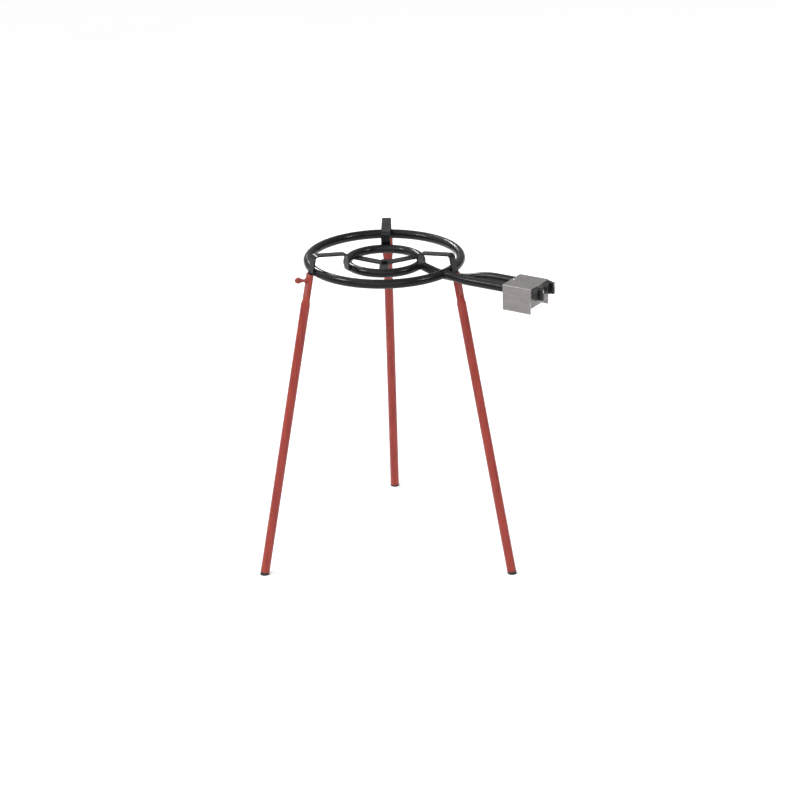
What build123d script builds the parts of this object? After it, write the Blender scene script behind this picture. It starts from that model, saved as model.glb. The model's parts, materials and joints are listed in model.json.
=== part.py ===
"""Two-ring gas burner on a three-legged tripod stand, with a valve box and two push-and-turn taps.

Millimetres, +Z up. The origin is on the floor under the ring axis and +X points at the valve box.
Everything that repeats on the three legs is built once at azimuth 0 and turned by AZIMUTHS.
"""

import os

from build123d import *

# ------------------------------------------------------------------ rings
RING_HEIGHT = 680.0        # plane of the outer ring above the floor
OUTER_R = 165.0            # tube centreline radius
OUTER_TUBE_R = 10.0
INNER_R = 80.0
INNER_TUBE_R = 9.5
INNER_DROP = 6.0           # the inner ring sits this much lower
RING_WALL = 1.5
BUTT_HALF = 1.0            # butt weld: half its width in degrees
BUTT_PROUD = 0.3
PORT_R = 0.9               # inner ring's flame ports, in two rows either side of the crown
PORT_LEAN = 32.0           # degrees from vertical
PORT_GAP = 3.0             # degrees kept clear of the butt weld
INNER_PORTS = 28           # per row

# ------------------------------------------------------------------ pan supports
STRIP_W = 20.0
STRIP_T = 3.0
CROWN_OUT = 36.5           # mid-thickness height of the top bar at its outer end
CROWN_IN = 27.0            # and at its inner end: the bar falls towards the centre
STRIP_IN_R = 90.6          # mid-thickness radius of the inner upright
STRIP_BEND_R = 7.0
STRIP_IN_END = -9.0        # lower end of the inner upright
TONGUE_W = 15.0
TONGUE_END = -64.0         # along the leg
STOP_W = 24.0              # lugs the leg's top edge comes up against
STOP_H = 4.0

# ------------------------------------------------------------------ legs
AZIMUTHS = {"a": 0.0, "b": 120.0, "c": 240.0}
LEG_R0 = 178.5             # leg axis radius in the outer ring plane
FOOT_R = 315.0             # leg axis radius on the floor
LEG_TUBE_R = 10.0
LEG_FLAT_W = 24.0          # flattened socket, outside
LEG_FLAT_T = 9.0
LEG_WALL = 1.2
LEG_TOP = -3.2             # along the leg, below the outer ring plane
FLAT_END = -52.0           # flattened down to here, then opening out to the round tube
ROUND_START = -70.0
TONGUE_OFFSET = -1.75      # the tongue lies against the inner wall of the socket
FOOT_FLANGE = 6.0
FOOT_PLUG = 16.0

# ------------------------------------------------------------------ clamp screws
SCREW_DROP = -18.0         # along the leg
THREAD_R = 3.0
RUN = 0.05                 # radial running clearance
NUT_AF = 10.0
NUT_T = 5.0
PAD_R = 4.5
PAD_T = 2.2
NOSE_R = 2.0
PADDLE_X = 26.5            # centre of the grip, out from the leg axis
PADDLE_LONG = 15.0
PADDLE_WIDE = 13.5
PADDLE_T = 4.6

# ------------------------------------------------------------------ feed tubes
FEED_Y = 23.5              # each side of the leg
FEED_DROP = -6.0           # axis below the outer ring plane
FEED_R = 9.6
FEED_WALL = 1.5
FEED_STRAIGHT_X = 285.0    # the bent tube runs level from here to the box
FEED_END_X = 327.0
FEED_LEVEL_X = 222.0       # the outer ring's tube runs level from here to the box
INNER_PORT_R = 6.5         # hole in each ring's wall inside its feed tube
OUTER_PORT_R = 6.5

# ------------------------------------------------------------------ valve box
BOX_X0 = 315.0
BOX_X1 = 382.0
BOX_HALF_Y = 38.5
BOX_TOP = 6.5
BOX_BOTTOM = -49.0
SHEET = 1.2
FLANGE = 11.0
FACE_SHORT = 12.0          # the knob face stops this much above the sides

# ------------------------------------------------------------------ taps and gas rail
TAP_X0 = 346.0
TAP_R = 11.0
NECK_R = 5.0
NECK_END_X = 385.5
PANEL_NUT_AF = 14.0
PANEL_NUT_T = 3.0
PLUG_X0 = 350.0
PLUG_X1 = 366.0
PLUG_R0 = 5.4
PLUG_R1 = 7.0
SPINDLE_R = 3.0
SPINDLE_END_X = 400.0
COLLAR_R = 4.2
KNOB_BACK_X = 386.5
KNOB_R = 15.0
KNOB_DISC = 9.0
KNOB_GRIP = 8.5
RAIL_X = 356.0
RAIL_DROP = -27.0
RAIL_R = 6.0
RAIL_BORE_R = 4.5
INLET_R = 10.45            # plain stand-in for a G 1/2 thread
INLET_LENGTH = 15.0
INLET_HEX_AF = 26.0
INLET_HEX_T = 5.0

# ------------------------------------------------------------------ brace
BRACE_W = 20.0
BRACE_T = 3.0
BRACE_TOP = -9.0
BRACE_HUB_R = 13.0
BRACE_REACH = 70.98        # the arms' ends meet the inner ring's tube here
BRACE_AZIMUTHS = (60.0, 180.0, 300.0)

NODES = {}


def hexagon(across_flats):
    """A regular hexagon with two flats square to its local Y."""
    return RegularPolygon(radius=across_flats / 2, side_count=6, major_radius=False)


def rod_x(radius, x0, x1, y=0.0, z=0.0):
    """A round bar lying along X."""
    return Pos((x0 + x1) / 2, y, z) * Rot(0, 90, 0) * Cylinder(radius, x1 - x0)


def hex_x(across_flats, x0, x1, y=0.0, z=0.0):
    """A hexagonal bar lying along X."""
    start = Plane(origin=(x0, y, z), x_dir=(0, 1, 0), z_dir=(1, 0, 0))
    return extrude(start * hexagon(across_flats), amount=x1 - x0)


def block(x, y, z):
    """A box from three (low, high) pairs."""
    size = [high - low for low, high in (x, y, z)]
    centre = [(high + low) / 2 for low, high in (x, y, z)]
    return Pos(*centre) * Box(*size)


def at_ring(shape):
    """From ring-plane height to the row's frame."""
    return Pos(0, 0, RING_HEIGHT) * shape


# ------------------------------------------------------------------ rings


def torus(major, minor, drop=0.0):
    return Pos(0, 0, -drop) * Torus(major, minor)


def arc_of_tube(major, outside, inside, start, end):
    """Part of a tube ring between two azimuths."""
    section = Plane.XZ * Pos(major, 0) * (Circle(outside) - Circle(inside))
    return Rot(0, 0, start) * revolve(section, Axis.Z, revolution_arc=end - start)


def burner_ring(major, minor, count, drop, butt_azimuth):
    """Tube bent to a ring and butt-welded, with two rows of flame ports drilled square to its wall."""
    bore = minor - RING_WALL
    ring = arc_of_tube(major, minor, bore, BUTT_HALF / 2, 360 - BUTT_HALF / 2)
    ring += arc_of_tube(major, minor + BUTT_PROUD, bore - BUTT_PROUD, -BUTT_HALF, BUTT_HALF)
    for lean in (-PORT_LEAN, PORT_LEAN):
        seat = Pos(major, 0, 0) * Rot(0, lean, 0) * Pos(0, 0, minor - RING_WALL / 2)
        hole = seat * Cylinder(PORT_R, RING_WALL * 3)
        phase = 0.5 if lean < 0 else 1.0
        turns = [360.0 * (i + phase) / count for i in range(count)]
        ring -= [Rot(0, 0, turn) * hole for turn in turns if PORT_GAP < turn < 360 - PORT_GAP]
    return Pos(0, 0, -drop) * Rot(0, 0, butt_azimuth) * ring


def annulus(outside, inside, z):
    """A flat ring the height of a tube, used to fit a strip against it."""
    return Pos(0, 0, z) * (Cylinder(outside, 8) - Cylinder(inside, 9))


OUTER_SOLID = torus(OUTER_R, OUTER_TUBE_R)
INNER_SOLID = torus(INNER_R, INNER_TUBE_R, INNER_DROP)


def feed_path():
    """Centreline of the inner feed: from the inner ring, under the outer ring, to the box."""
    stations = (
        (77.0, -9.0),
        (100.0, -15.5),
        (126.0, -21.0),
        (160.0, -22.4),
        (190.0, -19.8),
        (217.0, -12.6),
        (248.0, -7.0),
        (FEED_STRAIGHT_X, FEED_DROP),
    )
    points = [(x, FEED_Y, z) for x, z in stations]
    return Spline(*points, tangents=[(0.96, 0, -0.28), (1, 0, 0)])


def outer_feed_path():
    """Centreline of the outer feed: a slight set from the outer ring's mid-height to box height."""
    points = [(OUTER_R - 1, -FEED_Y, -0.7), (192.0, -FEED_Y, -3.2), (FEED_LEVEL_X, -FEED_Y, FEED_DROP)]
    return Spline(*points, tangents=[(1, 0, -0.03), (1, 0, 0)])


def swept(radius, path):
    return sweep(Plane(origin=path @ 0, z_dir=path % 0) * Circle(radius), path=path)


def rings_and_feeds():
    outer = OUTER_SOLID - torus(OUTER_R, OUTER_TUBE_R - RING_WALL)
    inner = burner_ring(INNER_R, INNER_TUBE_R, INNER_PORTS, INNER_DROP, 200.0)

    bore_r = FEED_R - FEED_WALL
    path = outer_feed_path()
    level = (FEED_LEVEL_X, FEED_END_X, -FEED_Y, FEED_DROP)
    level_bore = (FEED_LEVEL_X, FEED_END_X + 1, -FEED_Y, FEED_DROP)
    straight = swept(FEED_R, path) + rod_x(FEED_R, *level)
    straight_bore = swept(bore_r, path) + rod_x(bore_r, *level_bore)
    outer_mouth = rod_x(OUTER_PORT_R, OUTER_R - 2, OUTER_R + 15, -FEED_Y, 0)
    path = feed_path()
    bent = swept(FEED_R, path) + rod_x(FEED_R, FEED_STRAIGHT_X, FEED_END_X, FEED_Y, FEED_DROP)
    bent_bore = swept(bore_r, path) + rod_x(bore_r, FEED_STRAIGHT_X, FEED_END_X + 1, FEED_Y, FEED_DROP)
    mouth = rod_x(INNER_PORT_R, INNER_R - 2, INNER_R + 15, FEED_Y, -INNER_DROP)

    outer -= outer_mouth
    inner -= mouth
    NODES["outer_ring"] = at_ring(outer)
    NODES["inner_ring"] = at_ring(inner)
    NODES["outer_feed_tube"] = at_ring(straight - straight_bore - OUTER_SOLID)
    NODES["inner_feed_tube"] = at_ring(bent - bent_bore - INNER_SOLID)


# ------------------------------------------------------------------ brace across the inner ring


def brace():
    low = BRACE_TOP - BRACE_T
    star = Pos(0, 0, low + BRACE_T / 2) * Cylinder(BRACE_HUB_R, BRACE_T)
    for azimuth in BRACE_AZIMUTHS:
        arm = block((0, BRACE_REACH + 5), (-BRACE_W / 2, BRACE_W / 2), (low, BRACE_TOP))
        star += Rot(0, 0, azimuth) * arm
    star &= Pos(0, 0, low) * Cylinder(BRACE_REACH, 20)
    bolt_r = 4.0
    star -= Pos(0, 0, low) * Cylinder(bolt_r, 20)
    NODES["centre_brace"] = at_ring(star)

    head_t = 5.3
    nut_t = 6.0
    tail = low - nut_t - 4.0
    head = Pos(0, 0, BRACE_TOP) * extrude(hexagon(13), amount=head_t)
    shank = Pos(0, 0, (BRACE_TOP + tail) / 2) * Cylinder(bolt_r, BRACE_TOP - tail)
    NODES["brace_bolt"] = at_ring(head + shank)
    nut = Pos(0, 0, low - nut_t) * extrude(hexagon(13), amount=nut_t)
    nut = nut - Pos(0, 0, low) * Cylinder(bolt_r, 30)
    NODES["brace_nut"] = at_ring(nut)


# ------------------------------------------------------------------ legs and pan supports

RUN_OUT = FOOT_R - LEG_R0
LEG_LENGTH = (RUN_OUT**2 + RING_HEIGHT**2) ** 0.5
SIN_T = RUN_OUT / LEG_LENGTH
COS_T = RING_HEIGHT / LEG_LENGTH
# Local frame of a leg: +X out of its flat face, +Z up along its axis.
LEG_FRAME = Plane(origin=(LEG_R0, 0, RING_HEIGHT), x_dir=(COS_T, 0, SIN_T), z_dir=(-SIN_T, 0, COS_T))


def on_leg(shape):
    return LEG_FRAME.location * shape


def tongue_point(along):
    """A point of the tongue's mid-line, in ring-plane coordinates."""
    x = LEG_R0 + TONGUE_OFFSET * COS_T - along * SIN_T
    z = TONGUE_OFFSET * SIN_T + along * COS_T
    return (x, 0, z)


def pan_support():
    shoulder = tongue_point((CROWN_OUT - TONGUE_OFFSET * SIN_T) / COS_T)
    path = FilletPolyline(
        (STRIP_IN_R, 0, STRIP_IN_END),
        (STRIP_IN_R, 0, CROWN_IN),
        shoulder,
        tongue_point(TONGUE_END),
        radius=STRIP_BEND_R,
    )
    profile = Plane(origin=path @ 0, x_dir=(0, 1, 0), z_dir=path % 0) * Rectangle(STRIP_W, STRIP_T)
    strip = at_ring(sweep(profile, path=path))
    trim_top = LEG_TOP + 0.1
    for side in (-1, 1):
        spare = sorted((side * TONGUE_W / 2, side * STRIP_W))
        strip -= on_leg(block((-9, 9), spare, (TONGUE_END - 9, trim_top)))
    low_x = TONGUE_OFFSET - STRIP_T / 2
    lugs = block((low_x, low_x + STRIP_T), (-STOP_W / 2, STOP_W / 2), (trim_top, trim_top + STOP_H))
    strip += on_leg(lugs)
    # The inner upright is hollowed to sit against the outside of the inner ring.
    return strip - at_ring(annulus(INNER_R + INNER_TUBE_R, INNER_R, -INNER_DROP))


def leg_body(width, thick, radius, top, bottom):
    """One surface of a leg tube: a flattened length, a transition, then round."""
    flat = Pos(0, 0, FLAT_END) * extrude(Rot(0, 0, 90) * SlotOverall(width, thick), amount=top - FLAT_END)
    upper = Pos(0, 0, FLAT_END) * (Rot(0, 0, 90) * SlotOverall(width, thick))
    lower = Pos(0, 0, ROUND_START) * Circle(radius)
    taper = loft([lower, upper])
    straight = Pos(0, 0, (bottom + ROUND_START) / 2) * Cylinder(radius, ROUND_START - bottom)
    return flat + taper + straight


def leg_tube():
    bottom = -LEG_LENGTH + FOOT_FLANGE
    outside = leg_body(LEG_FLAT_W, LEG_FLAT_T, LEG_TUBE_R, LEG_TOP, bottom)
    bore = leg_body(
        LEG_FLAT_W - 2 * LEG_WALL,
        LEG_FLAT_T - 2 * LEG_WALL,
        LEG_TUBE_R - LEG_WALL,
        LEG_TOP + 1,
        bottom - 1,
    )
    screw_hole = rod_x(THREAD_R + RUN, 0, LEG_FLAT_T, 0, SCREW_DROP)
    return on_leg(outside - bore - screw_hole)


def foot():
    """Plug pushed into the tube, with a flange as wide as the tube cut level with the floor."""
    flange = Pos(0, 0, -LEG_LENGTH) * Cylinder(LEG_TUBE_R, 2 * FOOT_FLANGE)
    plug_z = -LEG_LENGTH + FOOT_FLANGE + FOOT_PLUG / 2
    plug = Pos(0, 0, plug_z) * Cylinder(LEG_TUBE_R - LEG_WALL, FOOT_PLUG)
    underfloor = block((FOOT_R - 60, FOOT_R + 60), (-60, 60), (-60, 0))
    return on_leg(flange + plug) - underfloor


def clamp_screw_parts():
    """Welded nut, swivel pad and thumbscrew of one leg."""
    face = LEG_FLAT_T / 2
    nut = hex_x(NUT_AF, face, face + NUT_T, 0, SCREW_DROP)
    nut -= rod_x(THREAD_R + RUN, face - 1, face + NUT_T + 1, 0, SCREW_DROP)

    pad_x = TONGUE_OFFSET + STRIP_T / 2 + RUN
    pad_back = pad_x + PAD_T
    socket_depth = 1.2
    pad = rod_x(PAD_R, pad_x, pad_back, 0, SCREW_DROP)
    pad -= rod_x(NOSE_R + RUN, pad_back - socket_depth, pad_back + 1, 0, SCREW_DROP)

    collar_x = PADDLE_X - PADDLE_LONG / 2 - 1.5
    screw = rod_x(NOSE_R, pad_back - socket_depth + 0.1, pad_back + 1, 0, SCREW_DROP)
    screw += rod_x(THREAD_R, pad_back + 0.1, collar_x + 1, 0, SCREW_DROP)
    screw += rod_x(THREAD_R + 1.5, collar_x, collar_x + 4, 0, SCREW_DROP)
    grip = extrude(Ellipse(PADDLE_LONG / 2, PADDLE_WIDE / 2), amount=PADDLE_T / 2, both=True)
    grip = fillet(grip.edges(), 1.2)
    dish = Cylinder(3.6, PADDLE_T)
    for side in (-1, 1):
        grip -= Pos(0, 0, side * (PADDLE_T - 0.7)) * dish
    screw += Pos(PADDLE_X, 0, SCREW_DROP) * Rot(90, 0, 0) * grip
    return on_leg(nut), on_leg(pad), on_leg(screw)


def tripod():
    support = pan_support()
    tube = leg_tube()
    cap = foot()
    nut, pad, screw = clamp_screw_parts()
    for letter, azimuth in AZIMUTHS.items():
        turn = Rot(0, 0, azimuth)
        NODES[f"pan_support_{letter}"] = turn * support
        NODES[f"leg_{letter}"] = turn * tube
        NODES[f"foot_{letter}"] = turn * cap
        NODES[f"leg_nut_{letter}"] = turn * nut
        NODES[f"clamp_pad_{letter}"] = turn * pad
        NODES[f"thumbscrew_{letter}"] = turn * screw


# ------------------------------------------------------------------ valve box


def valve_box():
    shell = block((BOX_X0, BOX_X1), (-BOX_HALF_Y, BOX_HALF_Y), (BOX_BOTTOM, BOX_TOP))
    bends = shell.edges().filter_by(Axis.X).group_by(Axis.Z)[-1]
    bends += shell.faces().sort_by(Axis.X)[-1].edges().group_by(Axis.Z)[-1]
    shell = fillet(bends, 2.0)
    inside = block(
        (BOX_X0 - 1, BOX_X1 - SHEET),
        (-BOX_HALF_Y + SHEET, BOX_HALF_Y - SHEET),
        (BOX_BOTTOM - 1, BOX_TOP - SHEET),
    )
    shell -= inside
    half = BOX_HALF_Y - SHEET
    shell -= block((BOX_X1 - SHEET, BOX_X1 + 1), (-half, half), (BOX_BOTTOM - 1, BOX_BOTTOM + FACE_SHORT))
    for y in (-FEED_Y, FEED_Y):
        shell -= rod_x(NECK_R, BOX_X1 - 5, BOX_X1 + 5, y, FEED_DROP)
    inlet = Pos(RAIL_X, BOX_HALF_Y, RAIL_DROP) * Rot(90, 0, 0) * Cylinder(INLET_R, 10)
    shell -= inlet

    inner_y = BOX_HALF_Y - SHEET
    inner_z = BOX_TOP - SHEET
    plate = block((BOX_X0, BOX_X0 + SHEET), (-inner_y, inner_y), (BOX_BOTTOM, inner_z))
    for side in (-1, 1):
        wall = sorted((side * inner_y, side * (inner_y - SHEET)))
        plate += block((BOX_X0, BOX_X0 + FLANGE), wall, (BOX_BOTTOM, inner_z))
        plate -= rod_x(FEED_R, BOX_X0 - 5, BOX_X0 + 5, side * FEED_Y, FEED_DROP)
    lip = block((BOX_X0, BOX_X0 + FLANGE), (-inner_y, inner_y), (inner_z - SHEET, inner_z))
    tube_room = rod_x(FEED_R, BOX_X0 + SHEET, BOX_X0 + FLANGE + 1, 0, FEED_DROP)
    for side in (-1, 1):
        lip -= Pos(0, side * FEED_Y, 0) * tube_room
    plate += lip

    screw_x = BOX_X0 + 7.5
    seats = {
        "a": Pos(screw_x, 0, BOX_TOP),
        "b": Pos(screw_x, BOX_HALF_Y, -30) * Rot(-90, 0, 0),
        "c": Pos(screw_x, BOX_HALF_Y, -42) * Rot(-90, 0, 0),
    }
    hole = Cylinder(1.9, 12)
    for letter, seat in seats.items():
        shell -= seat * hole
        plate -= seat * hole
        head = Cylinder(3.6, 2.0, align=(Align.CENTER, Align.CENTER, Align.MIN))
        head = fillet(head.edges().group_by(Axis.Z)[-1], 0.9)
        head -= Pos(0, 0, 2) * Box(5, 0.9, 1.6)
        shank = Pos(0, 0, -2.5) * Cylinder(1.9, 5)
        NODES[f"box_screw_{letter}"] = at_ring(seat * (head + shank))
    NODES["valve_box"] = at_ring(shell)
    NODES["box_back_plate"] = at_ring(plate)


# ------------------------------------------------------------------ taps


def cone_x(r0, r1, x0, x1):
    """A tapered bar along X, radius r0 at x0."""
    return Pos((x0 + x1) / 2, 0, 0) * Rot(0, 90, 0) * Cone(r0, r1, x1 - x0)


def tap(name, y):
    """One gas tap on its axis, then moved to its place."""
    wall_x = BOX_X1 - SHEET
    body = rod_x(TAP_R, TAP_X0, wall_x - 4)
    body += hex_x(20, wall_x - 6, wall_x)
    body += rod_x(NECK_R, wall_x - 1, NECK_END_X)
    boss = Pos(RAIL_X, 0, RAIL_DROP - FEED_DROP) * Cylinder(6.5, 34)
    boss &= block((TAP_X0, wall_x), (-9, 9), (RAIL_DROP - FEED_DROP, 0))
    body += boss
    rail = Pos(RAIL_X, 0, RAIL_DROP - FEED_DROP) * Rot(90, 0, 0) * Cylinder(RAIL_R, 40)
    body -= rail
    body -= cone_x(PLUG_R0 + RUN, PLUG_R1 + RUN, PLUG_X0 - 0.3, PLUG_X1 + 0.3)
    body -= rod_x(COLLAR_R + 0.4, PLUG_X1, PLUG_X1 + 10)
    body -= rod_x(SPINDLE_R + RUN, PLUG_X1 + 5, NECK_END_X + 1)
    body -= rod_x(2.0, TAP_X0 - 1, PLUG_X0 + 1)
    body -= Pos(RAIL_X, 0, (RAIL_DROP - FEED_DROP) / 2) * Cylinder(2.5, abs(RAIL_DROP - FEED_DROP))

    slot_w = 2.4
    slot_h = 5.6
    slot_x0 = PLUG_X1 - 10
    plug = cone_x(PLUG_R0, PLUG_R1, PLUG_X0, PLUG_X1)
    plug -= block((slot_x0, PLUG_X1 + 1), (-slot_h / 2, slot_h / 2), (-slot_w / 2, slot_w / 2))
    plug -= rod_x(1.5, PLUG_X0 - 1, RAIL_X)

    blade_x0 = slot_x0 + 3.6
    spindle = block((blade_x0, PLUG_X1 + 4), (-2.4, 2.4), (-0.8, 0.8))
    spindle += rod_x(SPINDLE_R, PLUG_X1 + 3, SPINDLE_END_X)
    spindle += rod_x(COLLAR_R, PLUG_X1 + 5.5, PLUG_X1 + 7.5)
    flat = block((NECK_END_X + 4, SPINDLE_END_X + 1), (-5, 5), (2.0, 5))
    spindle -= flat

    nut = hex_x(PANEL_NUT_AF, BOX_X1, BOX_X1 + PANEL_NUT_T) - rod_x(NECK_R, BOX_X1 - 1, BOX_X1 + 9)

    jet = hex_x(10, TAP_X0 - 6, TAP_X0) + cone_x(2.2, 4.2, TAP_X0 - 13, TAP_X0 - 6)
    jet -= rod_x(2.0, TAP_X0 - 9, TAP_X0 + 1)
    jet -= rod_x(0.5, TAP_X0 - 14, TAP_X0 - 8)

    top_x = KNOB_BACK_X + KNOB_DISC
    grip_x = top_x + KNOB_GRIP
    disc = cone_x(KNOB_R, KNOB_R - 1.2, KNOB_BACK_X, top_x)
    disc = fillet(disc.edges().group_by(Axis.X)[-1], 2.0)
    bar = block((top_x - 1, grip_x), (-4.2, 4.2), (-KNOB_R + 2.2, KNOB_R - 2.2))
    bar &= rod_x(KNOB_R - 2.4, top_x - 1, grip_x)
    bar = fillet(bar.edges().filter_by(GeomType.LINE).group_by(Axis.X)[-1], 1.5)
    knob = disc + bar
    knob -= rod_x(11.0, KNOB_BACK_X - 1, KNOB_BACK_X + 3.2)
    bore = rod_x(SPINDLE_R, KNOB_BACK_X - 1, SPINDLE_END_X)
    knob -= bore - flat
    mark_z = KNOB_R - 2.4
    mark = block((grip_x - 0.6, grip_x), (-0.8, 0.8), (mark_z - 8.5, mark_z - 1.9))
    knob -= mark

    place = Pos(0, y, FEED_DROP)
    parts = {
        "tap_body": body,
        "tap_plug": plug,
        "spindle": spindle,
        "panel_nut": nut,
        "injector": jet,
        "knob": knob,
        "knob_mark": mark,
    }
    for part, shape in parts.items():
        NODES[f"{part}_{name}"] = at_ring(place * shape)


def gas_rail():
    rail_y0 = -FEED_Y - 9
    rail_y1 = BOX_HALF_Y - SHEET - 6
    turn = Rot(-90, 0, 0)

    def bar(radius, y0, y1):
        return Pos(RAIL_X, (y0 + y1) / 2, RAIL_DROP) * turn * Cylinder(radius, y1 - y0)

    rail = bar(RAIL_R, rail_y0, rail_y1) - bar(RAIL_BORE_R, rail_y0 + 2, rail_y1 + 1)
    for y in (-FEED_Y, FEED_Y):
        rail -= Pos(RAIL_X, y, RAIL_DROP + RAIL_R) * Cylinder(2.5, 2 * (RAIL_R - 1))
    NODES["gas_rail"] = at_ring(rail)

    outer_y = BOX_HALF_Y
    hex_start = Plane(origin=(RAIL_X, outer_y, RAIL_DROP), x_dir=(1, 0, 0), z_dir=(0, 1, 0))
    inlet = extrude(hex_start * hexagon(INLET_HEX_AF), amount=INLET_HEX_T)
    inlet += bar(INLET_R, outer_y, outer_y + INLET_HEX_T + INLET_LENGTH)
    inlet += bar(INLET_R, rail_y1, outer_y)
    inlet -= bar(RAIL_BORE_R, rail_y1 - 1, outer_y + 40)
    NODES["gas_inlet"] = at_ring(inlet)

    back = outer_y - SHEET
    nut_start = Plane(origin=(RAIL_X, back, RAIL_DROP), x_dir=(1, 0, 0), z_dir=(0, -1, 0))
    nut = extrude(nut_start * hexagon(INLET_HEX_AF), amount=4.0)
    nut -= bar(INLET_R, back - 9, back + 9)
    NODES["inlet_nut"] = at_ring(nut)


def main():
    rings_and_feeds()
    brace()
    tripod()
    valve_box()
    tap("outer", -FEED_Y)
    tap("inner", FEED_Y)
    gas_rail()
    os.makedirs("parts", exist_ok=True)
    for name, shape in NODES.items():
        shape.label = name
        export_step(shape, f"parts/{name}.step")


main()
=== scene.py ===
import json
import math
import random

import bpy
from mathutils import Matrix, Vector


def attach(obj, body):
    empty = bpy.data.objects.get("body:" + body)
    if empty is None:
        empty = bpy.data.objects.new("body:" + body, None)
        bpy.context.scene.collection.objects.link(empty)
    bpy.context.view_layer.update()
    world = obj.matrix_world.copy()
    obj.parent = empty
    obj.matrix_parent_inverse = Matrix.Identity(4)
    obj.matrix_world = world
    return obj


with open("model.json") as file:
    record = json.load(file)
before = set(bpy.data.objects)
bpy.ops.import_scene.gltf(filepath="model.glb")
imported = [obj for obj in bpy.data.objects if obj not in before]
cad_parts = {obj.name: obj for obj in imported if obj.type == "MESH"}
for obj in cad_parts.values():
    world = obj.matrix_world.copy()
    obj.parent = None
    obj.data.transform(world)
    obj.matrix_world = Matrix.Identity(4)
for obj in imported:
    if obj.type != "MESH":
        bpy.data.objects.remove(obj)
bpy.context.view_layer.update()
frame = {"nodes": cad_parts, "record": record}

NODES = frame["nodes"]
MM = 0.001
rng = random.Random(7)

# The part's own dimensions that the added pieces fit to, in millimetres.
RING_HEIGHT = 680.0
OUTER_R, OUTER_TUBE = 165.0, 10.0
INNER_R, INNER_TUBE, INNER_Z = 80.0, 9.5, -6.0
FEED_Y, FEED_TUBE = 23.5, 9.6
AZIMUTHS = {"a": 0.0, "b": 120.0, "c": 240.0}
BRACE_AZIMUTHS = (60.0, 180.0, 300.0)
LEG_R0, FOOT_R = 178.5, 315.0
SCREW_DROP = -18.0


# ------------------------------------------------------------------ node helpers


class Shader:
    """A Principled material and short ways to add nodes to it."""

    def __init__(self, name, **values):
        self.mat = bpy.data.materials.new(name)
        self.mat.use_nodes = True
        self.tree = self.mat.node_tree
        self.bsdf = self.tree.nodes["Principled BSDF"]
        for key, value in values.items():
            self.bsdf.inputs[key.replace("_", " ")].default_value = value
        self.coords = self.tree.nodes.new("ShaderNodeTexCoord").outputs["Object"]

    def node(self, kind, settings=None, **inputs):
        made = self.tree.nodes.new("ShaderNode" + kind)
        for key, value in (settings or {}).items():
            setattr(made, key, value)
        for key, value in inputs.items():
            self.put(made.inputs[key.replace("_", " ")], value)
        return made

    def put(self, socket, value):
        if isinstance(value, bpy.types.NodeSocket):
            self.tree.links.new(value, socket)
        else:
            socket.default_value = value

    def stretched(self, scale):
        """Object coordinates with a different scale on each axis."""
        return self.node("Mapping", Vector=self.coords, Scale=scale).outputs["Vector"]

    def noise(self, scale, detail=4.0, rough=0.55, vector=None):
        vector = self.coords if vector is None else vector
        made = self.node("TexNoise", Vector=vector, Scale=scale, Detail=detail, Roughness=rough)
        return made.outputs["Fac"]

    def flakes(self, scale, channel, vector):
        """One random grey per crystal."""
        cells = self.node("TexVoronoi", Vector=vector, Scale=scale).outputs["Color"]
        return self.node("SeparateColor", Color=cells).outputs[channel]

    def ramp(self, value, *stops):
        made = self.node("ValToRGB", Fac=value)
        elements = made.color_ramp.elements
        while len(elements) < len(stops):
            elements.new(0.5)
        for element, (place, level) in zip(elements, stops):
            element.position = place
            element.color = (level, level, level, 1)
        return made.outputs["Color"]

    def span(self, value, low, high, start=0.0, end=1.0):
        made = self.node("MapRange", Value=value)
        for key, number in (("From Min", start), ("From Max", end), ("To Min", low), ("To Max", high)):
            made.inputs[key].default_value = number
        return made.outputs["Result"]

    def maths(self, operation, a, b):
        made = self.node("Math", {"operation": operation})
        self.put(made.inputs[0], a)
        self.put(made.inputs[1], b)
        return made.outputs[0]

    def mix(self, factor, a, b):
        made = self.node("Mix", {"data_type": "RGBA"})
        colours = [socket for socket in made.inputs if socket.type == "RGBA"]
        self.put(made.inputs[0], factor)
        for socket, value in zip(colours, (a, b)):
            self.put(socket, (*value, 1) if isinstance(value, tuple) else value)
        return [socket for socket in made.outputs if socket.type == "RGBA"][0]

    def edge_wear_and_highlight(self, reach, low=0.01, high=0.10):
        """1 where a rounded-over normal leaves the true one, which is at edges, broken up by noise. Used
        for edge wear, and on the enamel, red paint and zinc sheet also for painted edge highlights.
        """
        rounded = self.node("Bevel", Radius=reach).outputs["Normal"]
        true = self.node("NewGeometry").outputs["Normal"]
        made = self.node("VectorMath", {"operation": "DOT_PRODUCT"})
        self.put(made.inputs[0], rounded)
        self.put(made.inputs[1], true)
        sharp = self.span(self.maths("SUBTRACT", 1.0, made.outputs["Value"]), 0.0, 1.0, low, high)
        broken = self.ramp(self.noise(240.0, 6.0), (0.40, 0.0), (0.62, 1.0))
        return self.maths("MULTIPLY", sharp, broken)

    def bump(self, height, strength, distance, normal=None):
        made = self.node("Bump", Height=height, Strength=strength, Distance=distance)
        if normal is not None:
            self.put(made.inputs["Normal"], normal)
        return made.outputs["Normal"]

    def set(self, **links):
        for key, value in links.items():
            self.put(self.bsdf.inputs[key.replace("_", " ")], value)
        return self.mat


# ------------------------------------------------------------------ materials


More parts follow.
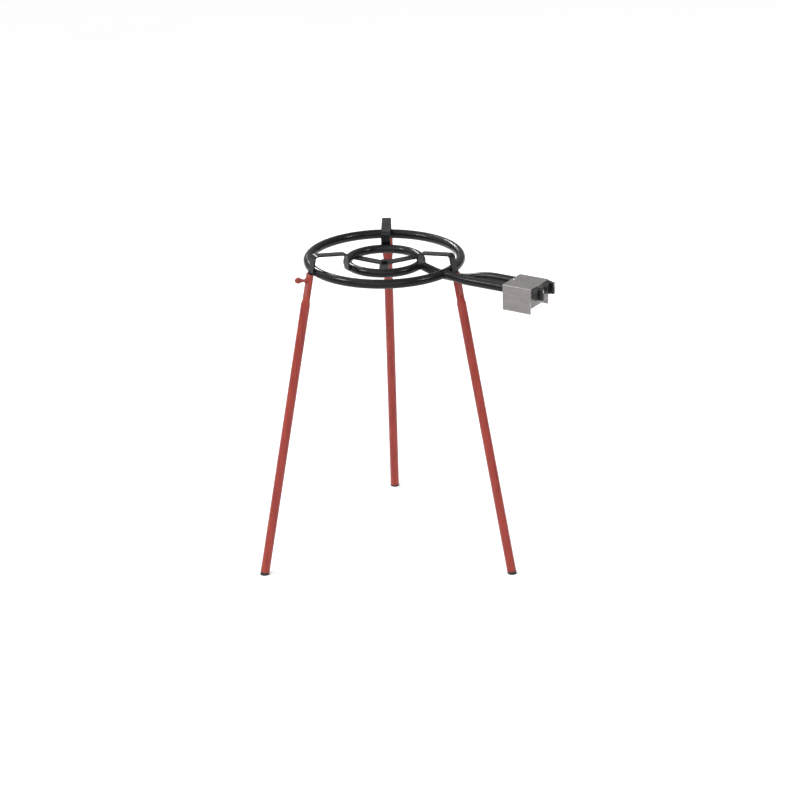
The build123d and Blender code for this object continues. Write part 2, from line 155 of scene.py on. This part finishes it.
def enamel(name, base, dust, rough_low, rough_high, level):
    """Gloss black paint over steel: orange peel, fine dust, rubbed streaks, and paler edges that are
    partly wear and partly a painted highlight.
    """
    s = Shader(name, Specular_IOR_Level=level)
    colour = s.mix(s.span(s.noise(11.0, 5.0), 0.0, 1.0, 0.35, 0.75), base, dust)
    specks = s.ramp(s.noise(1100.0, 2.0), (0.74, 0.0), (0.82, 0.35))
    colour = s.mix(specks, colour, (0.05, 0.05, 0.05))
    rubbed = s.ramp(s.noise(1.0, 5.0, 0.6, s.stretched((30.0, 30.0, 160.0))), (0.60, 0.0), (0.75, 0.3))
    colour = s.mix(rubbed, colour, (0.022, 0.022, 0.023))
    # Paler edges: partly paint worn at bends, partly a painted highlight of the light along the edges.
    colour = s.mix(s.edge_wear_and_highlight(0.0007), colour, (0.055, 0.054, 0.053))
    rough = s.span(s.noise(38.0, 6.0), rough_low, rough_high, 0.3, 0.7)
    peel = s.bump(s.noise(300.0, 2.0), 0.12, 0.0005)
    normal = s.bump(s.noise(55.0, 3.0), 0.22, 0.0014, peel)
    return s.set(Base_Color=colour, Roughness=rough, Normal=normal)


def red_paint(name):
    """Brick red gloss paint over tube, streaked along its length, with pale edges that are partly
    chipped paint and partly a painted highlight.
    """
    s = Shader(name, Coat_Weight=0.08, Coat_Roughness=0.2, Specular_IOR_Level=0.25)
    streak = s.noise(1.0, 5.0, 0.6, s.stretched((120.0, 120.0, 5.0)))
    colour = s.mix(s.span(streak, 0.0, 1.0, 0.32, 0.68), (0.195, 0.020, 0.015), (0.300, 0.042, 0.026))
    cloud = s.span(s.noise(7.0, 3.0), 0.0, 0.55, 0.4, 0.7)
    colour = s.mix(cloud, colour, (0.215, 0.023, 0.019))
    dirt = s.ramp(s.noise(1.0, 7.0, 0.6, s.stretched((260.0, 260.0, 40.0))), (0.60, 0.0), (0.74, 0.5))
    colour = s.mix(dirt, colour, (0.11, 0.022, 0.018))
    # Pale edges: partly chipped paint, partly a painted highlight on the edges.
    colour = s.mix(s.edge_wear_and_highlight(0.0009), colour, (0.40, 0.27, 0.23))
    rough = s.span(s.noise(60.0, 5.0), 0.24, 0.42, 0.3, 0.7)
    peel = s.bump(s.noise(420.0, 2.0), 0.12, 0.0005)
    normal = s.bump(s.noise(1.0, 3.0, 0.5, s.stretched((90.0, 90.0, 12.0))), 0.16, 0.0012, peel)
    return s.set(Base_Color=colour, Roughness=rough, Normal=normal)


def galvanised(name):
    """Hot-dip zinc sheet: low-contrast crystals, rolling lines, and painted highlights along its folds
    and edges.
    """
    s = Shader(name, Metallic=0.62, Specular_IOR_Level=0.4)
    wobble = s.node("TexNoise", Vector=s.coords, Scale=55.0, Detail=3.0).outputs["Color"]
    bent = s.node("Mix", {"data_type": "VECTOR"}, Factor=0.028)
    vectors = [socket for socket in bent.inputs if socket.type == "VECTOR"]
    s.put(vectors[-2], s.coords)
    s.put(vectors[-1], wobble)
    vector = [socket for socket in bent.outputs if socket.type == "VECTOR"][0]
    flake = s.flakes(190.0, 0, vector)
    colour = s.mix(flake, (0.205, 0.188, 0.184), (0.250, 0.232, 0.226))
    colour = s.mix(s.span(s.flakes(520.0, 1, vector), 0.0, 0.4), colour, (0.222, 0.209, 0.212))
    rolled = s.ramp(s.noise(1.0, 6.0, 0.6, s.stretched((16.0, 300.0, 300.0))), (0.50, 0.0), (0.72, 0.35))
    colour = s.mix(rolled, colour, (0.31, 0.295, 0.295))
    stain = s.ramp(s.noise(42.0, 6.0), (0.56, 0.0), (0.72, 0.35))
    colour = s.mix(stain, colour, (0.130, 0.120, 0.126))
    # Near-white edges and folds: a painted highlight.
    colour = s.mix(s.edge_wear_and_highlight(0.0016, 0.004, 0.05), colour, (0.72, 0.70, 0.68))
    rough = s.maths("ADD", s.span(flake, 0.36, 0.44), s.span(s.noise(90.0, 4.0), -0.04, 0.08, 0.3, 0.7))
    fine = s.bump(s.noise(700.0, 3.0), 0.10, 0.0003)
    normal = s.bump(s.noise(26.0, 3.0), 0.20, 0.0015, fine)
    return s.set(Base_Color=colour, Roughness=rough, Normal=normal)


def metal(name, light, dark, rough, grain):
    """Turned or plated metal with fine machining lines and handling marks."""
    s = Shader(name, Metallic=1.0)
    colour = s.mix(s.span(s.noise(90.0, 6.0), 0.0, 1.0, 0.35, 0.65), dark, light)
    tarnish = s.ramp(s.noise(24.0, 6.0), (0.56, 0.0), (0.74, 0.5))
    colour = s.mix(tarnish, colour, tuple(0.45 * part for part in dark))
    roughness = s.span(s.noise(220.0, 5.0), rough - 0.08, rough + 0.12, 0.3, 0.7)
    normal = s.bump(s.noise(1.0, 3.0, 0.5, s.stretched(grain)), 0.18, 0.0003)
    return s.set(Base_Color=colour, Roughness=roughness, Normal=normal)


def plastic(name, base, pale, rough):
    """Moulded plastic with a fine spark-eroded texture and pale scuffs on its edges."""
    s = Shader(name, Specular_IOR_Level=0.35)
    colour = s.mix(s.span(s.noise(28.0, 5.0), 0.0, 1.0, 0.35, 0.7), base, pale)
    colour = s.mix(s.edge_wear_and_highlight(0.0006), colour, tuple(min(1.0, part * 3 + 0.03) for part in base))
    roughness = s.span(s.noise(120.0, 4.0), rough - 0.08, rough + 0.10, 0.3, 0.7)
    normal = s.bump(s.noise(1600.0, 2.0), 0.22, 0.0002)
    return s.set(Base_Color=colour, Roughness=roughness, Normal=normal)


BLACK = enamel("ring_black", (0.0026, 0.0027, 0.0034), (0.0055, 0.0056, 0.0066), 0.13, 0.32, 0.22)
FEED_BLACK = enamel("feed_black", (0.0030, 0.0032, 0.0040), (0.0065, 0.0068, 0.0078), 0.16, 0.34, 0.24)
STRIP_BLACK = enamel("strip_black", (0.0030, 0.0031, 0.0038), (0.0070, 0.0070, 0.0078), 0.20, 0.40, 0.24)
RED = red_paint("leg_red")
ZINC_SHEET = galvanised("galvanised_sheet")
ZINC = metal("zinc_plate", (0.60, 0.595, 0.57), (0.44, 0.43, 0.41), 0.34, (900.0, 900.0, 900.0))
BRASS = metal("turned_brass", (0.74, 0.55, 0.25), (0.56, 0.39, 0.15), 0.30, (900.0, 120.0, 120.0))
PIPE = metal("steel_pipe", (0.46, 0.46, 0.46), (0.30, 0.295, 0.29), 0.38, (120.0, 900.0, 120.0))
FOOT = plastic("foot_black", (0.008, 0.008, 0.0085), (0.020, 0.019, 0.0185), 0.55)
KNOB = plastic("knob_black", (0.006, 0.006, 0.0065), (0.014, 0.014, 0.014), 0.36)
# Matt black for the flame port discs: painted shade of the holes.
PORT_SHADE = plastic("port_painted_shade", (0.001, 0.001, 0.001), (0.002, 0.002, 0.002), 0.9)
MARK = plastic("mark_white", (0.74, 0.73, 0.70), (0.66, 0.65, 0.62), 0.45)

FINISHES = {
    "ring_enamel": BLACK,
    "feed_enamel": FEED_BLACK,
    "strip_black": STRIP_BLACK,
    "zinc_steel": ZINC,
    "galvanised": ZINC_SHEET,
    "brass": BRASS,
    "steel_pipe": PIPE,
    "leg_red": RED,
    "screw_red": RED,
    "foot_plastic": FOOT,
    "knob_black": KNOB,
    "mark_white": MARK,
}

for entry in frame["record"]["subparts"]:
    cad = NODES[entry["node"]]
    cad.data.materials.clear()
    cad.data.materials.append(FINISHES[entry["material_slot"]])


# ------------------------------------------------------------------ weld beads and threads

RING_PLANE = Matrix.Translation((0.0, 0.0, RING_HEIGHT * MM))


def turned(azimuth):
    return Matrix.Rotation(math.radians(azimuth), 4, "Z")


def leg_frame(azimuth):
    """Local frame of a leg: +X out of its flat face, +Z up along its axis, in metres."""
    length = math.hypot(FOOT_R - LEG_R0, RING_HEIGHT)
    sin_t, cos_t = (FOOT_R - LEG_R0) / length, RING_HEIGHT / length
    axes = Matrix(((cos_t, 0, -sin_t), (0, 1, 0), (sin_t, 0, cos_t))).to_4x4()
    place = Matrix.Translation((LEG_R0 * MM, 0.0, RING_HEIGHT * MM))
    return turned(azimuth) @ place @ axes


def round_bar(points, radii, closed, sides=8):
    """Vertices and faces of a tube through the points, whose radius changes along it."""
    count = len(points)
    verts, faces = [], []
    normal = None
    for i, (point, radius) in enumerate(zip(points, radii)):
        ahead = points[(i + 1) % count] if closed else points[min(i + 1, count - 1)]
        behind = points[i - 1] if closed or i else points[0]
        along = (ahead - behind).normalized()
        start = normal if normal is not None else along.orthogonal()
        normal = (start - along * start.dot(along)).normalized()
        side = along.cross(normal)
        for k in range(sides):
            turn = 2 * math.pi * k / sides
            verts.append(point + (normal * math.cos(turn) + side * math.sin(turn)) * radius)
    for i in range(count if closed else count - 1):
        a, b = i * sides, (i + 1) % count * sides
        for k in range(sides):
            n = (k + 1) % sides
            faces.append((a + k, a + n, b + n, b + k))
    if not closed:
        faces.append(tuple(reversed(range(sides))))
        faces.append(tuple(range((count - 1) * sides, count * sides)))
    return verts, faces


def mesh_object(name, verts, faces, finish):
    mesh = bpy.data.meshes.new(name)
    mesh.from_pydata(verts, [], faces)
    mesh.materials.append(finish)
    made = bpy.data.objects.new(name, mesh)
    bpy.context.collection.objects.link(made)
    return made


def piece(name, points, radii, closed, place, body, slot):
    """A tube along the points, in millimetres, riding on a body."""
    verts, faces = round_bar(points, radii, closed)
    made = mesh_object(name, [vert * MM for vert in verts], faces, FINISHES[slot])
    made.data.shade_smooth()
    made.matrix_world = place
    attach(made, body)


def resampled(route, step, closed):
    """The route walked again in even steps."""
    corners = route + route[:1] if closed else route
    spots, carry = [], 0.0
    for a, b in zip(corners, corners[1:]):
        length = (b - a).length
        while carry < length:
            spots.append(a.lerp(b, carry / length))
            carry += step
        carry -= length
    return spots


RIPPLE = 1.7           # length of one weld ripple
BEAD_STEP = 0.42       # distance between a bead's points
BEAD_TAPER = 4         # points over which an open bead's end swells to full size
THREAD_STEPS = 20      # points in one turn of a thread
THREAD_TAPER = 6
SADDLE_POINTS = 48     # round a feed tube, where it meets its ring
SADDLE_STEP = 0.1


def bead(name, route, size, place, body, slot, closed=False):
    """A weld bead: rippled, a little uneven, sunk to half its height in the joint."""
    spots = resampled([Vector(p) for p in route], BEAD_STEP, closed)
    drift, points, radii = 0.0, [], []
    for i, spot in enumerate(spots):
        drift = 0.9 * drift + rng.uniform(-0.05, 0.05)
        ripple = abs(math.sin(math.pi * i * BEAD_STEP / RIPPLE))
        ends = 1.0 if closed else min(1.0, (min(i, len(spots) - 1 - i) + 1) / BEAD_TAPER)
        radii.append(size * (0.86 + 0.2 * ripple + drift) * ends)
        points.append(spot + Vector([rng.uniform(-0.06, 0.06) for _ in range(3)]))
    piece(name, points, radii, closed, place, body, slot)


def thread(name, radius, pitch, ridge, length, place, body, slot):
    """A helical ridge along local +X."""
    steps = int(length / pitch * THREAD_STEPS)
    points, radii = [], []
    for i in range(steps + 1):
        turn = 2 * math.pi * i / THREAD_STEPS
        points.append(Vector((length * i / steps, radius * math.cos(turn), radius * math.sin(turn))))
        radii.append(ridge * min(1.0, (min(i, steps - i) + 1) / THREAD_TAPER))
    piece(name, points, radii, False, place, body, slot)


def saddle(centre_at, tube, major, minor, drop, x_far, x_near):
    """Where a tube running along X meets a ring: the first point inside the ring, all round the tube."""
    route = []
    for k in range(SADDLE_POINTS):
        turn = 2 * math.pi * k / SADDLE_POINTS
        x = x_far
        while x > x_near:
            centre = centre_at(x)
            spot = centre + Vector((0.0, math.cos(turn), math.sin(turn))) * tube
            across = math.hypot(spot.x, spot.y) - major
            if math.hypot(across, spot.z - drop) < minor:
                break
            x -= SADDLE_STEP
        route.append(spot)
    return route


def outer_feed_centre(x):
    return Vector((x, -FEED_Y, -0.9))


def inner_feed_centre(x):
    return Vector((x, FEED_Y, -9.0 - (x - 77.0) * 0.283))


def weld_everything():
    route = saddle(outer_feed_centre, FEED_TUBE, OUTER_R, OUTER_TUBE, 0.0, 182.0, 165.0)
    bead("weld_outer_feed", route, 1.7, RING_PLANE, "burner", "feed_enamel", True)
    route = saddle(inner_feed_centre, FEED_TUBE, INNER_R, INNER_TUBE, INNER_Z, 98.0, 77.5)
    bead("weld_inner_feed", route, 1.7, RING_PLANE, "burner", "feed_enamel", True)
    for letter, azimuth in AZIMUTHS.items():
        place = turned(azimuth) @ RING_PLANE
        for side, word in ((-1, "right"), (1, "left")):
            edge = [(88.9, side * 9.6, -9.0), (88.7, side * 9.9, -6.0), (88.9, side * 9.6, -1.5)]
            bead(f"weld_support_{letter}_inner_{word}", edge, 1.5, place, "burner", "strip_black")
            edge = [(174.9, side * 9.6, -1.2), (175.2, side * 9.9, 1.0), (174.6, side * 9.4, 4.6)]
            bead(f"weld_support_{letter}_outer_{word}", edge, 1.5, place, "burner", "strip_black")
        edge = [(88.7, -8.5, -1.2), (88.7, 8.5, -1.2)]
        bead(f"weld_support_{letter}_inner_top", edge, 1.5, place, "burner", "strip_black")
        edge = [(174.4, -8.5, 4.2), (174.4, 8.5, 4.2)]
        bead(f"weld_support_{letter}_outer_top", edge, 1.6, place, "burner", "strip_black")
    for azimuth in BRACE_AZIMUTHS:
        place = turned(azimuth) @ RING_PLANE
        for word, radius, z in (("top", 70.6, -8.8), ("under", 71.0, -12.2)):
            turns = [math.radians(-7.6 + 15.2 * i / 8) for i in range(9)]
            route = [(radius * math.cos(t), radius * math.sin(t), z) for t in turns]
            bead(f"weld_brace_{azimuth:.0f}_{word}", route, 1.4, place, "burner", "strip_black")


def thread_everything():
    for letter, azimuth in AZIMUTHS.items():
        local = leg_frame(azimuth)
        turns = [math.radians(60 * i + 30) for i in range(6)]
        route = [(4.6, 5.9 * math.cos(t), SCREW_DROP + 5.9 * math.sin(t)) for t in turns]
        bead(f"weld_nut_{letter}", route, 0.9, local, f"leg_{letter}", "leg_red", True)
        start = local @ Matrix.Translation((9.9 * MM, 0.0, SCREW_DROP * MM))
        thread(f"thread_screw_{letter}", 2.95, 1.0, 0.28, 7.2, start, f"screw_{letter}", "screw_red")
    along_y = Matrix.Rotation(math.radians(90), 4, "Z")
    start = RING_PLANE @ Matrix.Translation((356.0 * MM, 44.2 * MM, -27.0 * MM)) @ along_y
    thread("thread_inlet", 10.35, 1.814, 0.5, 13.6, start, "burner", "brass")
    down = Matrix.Rotation(math.radians(90), 4, "Y")
    start = RING_PLANE @ Matrix.Translation((0.0, 0.0, -18.2 * MM)) @ down
    thread("thread_brace_bolt", 3.95, 1.25, 0.3, 3.6, start, "burner", "strip_black")


PORTS = 60             # per row on the outer ring
PORT_R, PORT_LEAN = 0.9, 32.0
PORT_SIDES = 12
PORT_PROUD = 0.02      # keeps the dark discs clear of the tube's surface


def port_mouths():
    """Dark discs of painted shade that stand for the shaded inside of the outer ring's flame ports, in
    two rows either side of its crown.
    """
    verts, faces = [], []
    for lean in (-PORT_LEAN, PORT_LEAN):
        seat = Matrix.Translation((OUTER_R, 0, 0)) @ Matrix.Rotation(math.radians(lean), 4, "Y")
        phase = 0.5 if lean < 0 else 1.0
        for i in range(PORTS):
            place = turned(360.0 * (i + phase) / PORTS) @ seat
            base = len(verts)
            for k in range(PORT_SIDES):
                turn = 2 * math.pi * k / PORT_SIDES
                level = OUTER_TUBE + PORT_PROUD
                rim = Vector((PORT_R * math.cos(turn), PORT_R * math.sin(turn), level))
                verts.append(place @ rim * MM)
            faces.append(tuple(range(base, base + PORT_SIDES)))
    # Each disc is painted shade where a port hole opens.
    made = mesh_object("outer_port_mouths", verts, faces, PORT_SHADE)
    made.matrix_world = RING_PLANE
    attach(made, "burner")


weld_everything()
thread_everything()
port_mouths()


# ------------------------------------------------------------------ floor, light, camera

FLOOR_HALF = 40.0     # metres, so that the camera never sees past it


def stage_floor():
    s = Shader("floor", Specular_IOR_Level=0.1)
    colour = s.mix(s.noise(3.0, 4.0), (0.90, 0.90, 0.90), (0.92, 0.92, 0.92))
    mat = s.set(Base_Color=colour, Roughness=0.9)
    half = FLOOR_HALF
    corners = [(-half, -half, 0), (half, -half, 0), (half, half, 0), (-half, half, 0)]
    mesh_object("floor", corners, [(0, 1, 2, 3)], mat)


def lamp(name, kind, place, target, power, **settings):
    data = bpy.data.lights.new(name, kind)
    data.energy = power
    for key, value in settings.items():
        setattr(data, key, value)
    obj = bpy.data.objects.new(name, data)
    bpy.context.collection.objects.link(obj)
    obj.location = place
    obj.rotation_euler = (Vector(target) - Vector(place)).to_track_quat("-Z", "Y").to_euler()


def stage_light():
    world = bpy.data.worlds.new("studio")
    world.use_nodes = True
    nodes, links = world.node_tree.nodes, world.node_tree.links
    height = nodes.new("ShaderNodeSeparateXYZ")
    links.new(nodes.new("ShaderNodeTexCoord").outputs["Generated"], height.inputs[0])
    sky = nodes.new("ShaderNodeValToRGB")
    sky.color_ramp.elements[0].position = 0.05
    sky.color_ramp.elements[0].color = (0.30, 0.30, 0.31, 1.0)
    sky.color_ramp.elements[1].position = 0.95
    sky.color_ramp.elements[1].color = (0.78, 0.78, 0.79, 1.0)
    links.new(height.outputs["Z"], sky.inputs["Fac"])
    links.new(sky.outputs["Color"], nodes["Background"].inputs["Color"])
    bpy.context.scene.world = world
    bpy.context.scene.view_settings.view_transform = "Standard"
    aim = (0.0, 0.0, 0.45)
    # Two broad suns keep the floor even; the small lamps put the glints on the black tubes.
    lamp("front_sun", "SUN", (1.6, -3.4, 2.4), aim, 1.35, angle=math.radians(70))
    lamp("left_sun", "SUN", (-2.4, -1.2, 3.2), aim, 1.05, angle=math.radians(80))
    lamp("glint_left", "AREA", (-1.4, -1.6, 2.6), aim, 30.0, shape="SQUARE", size=0.5)
    lamp("glint_back", "AREA", (-2.2, 1.8, 2.4), aim, 34.0, shape="SQUARE", size=0.6)
    lamp("glint_right", "AREA", (2.4, 0.2, 2.4), aim, 20.0, shape="SQUARE", size=0.5)


# The camera looks at AIM, given from the ring centre in the view's own right, away and up.
VIEW_AZIMUTH = 32.1
VIEW_ELEVATION = 22.42
VIEW_ROLL = -1.15
VIEW_DISTANCE = 5.617
VIEW_LENS = 114.38
AIM = (0.02777, 0.0, -0.33191)


def stage_camera():
    e = math.radians(VIEW_ELEVATION)
    roll = math.radians(VIEW_ROLL)
    back = Vector((0.0, -math.cos(e), math.sin(e)))
    up = Vector((0.0, math.sin(e), math.cos(e)))
    right = Vector((1.0, 0.0, 0.0))
    place = Vector(AIM) + back * VIEW_DISTANCE
    x = right * math.cos(roll) + up * math.sin(roll)
    y = up * math.cos(roll) - right * math.sin(roll)
    turn = Matrix.Rotation(math.radians(VIEW_AZIMUTH), 3, "Z")
    basis = Matrix([turn @ x, turn @ y, turn @ back]).transposed().to_4x4()
    data = bpy.data.cameras.new("camera")
    data.sensor_width = 36.0
    data.lens = VIEW_LENS
    data.clip_end = 200.0
    camera = bpy.data.objects.new("camera", data)
    bpy.context.collection.objects.link(camera)
    camera.matrix_world = RING_PLANE @ Matrix.Translation(turn @ place) @ basis
    bpy.context.scene.camera = camera


stage_floor()
stage_light()
stage_camera()
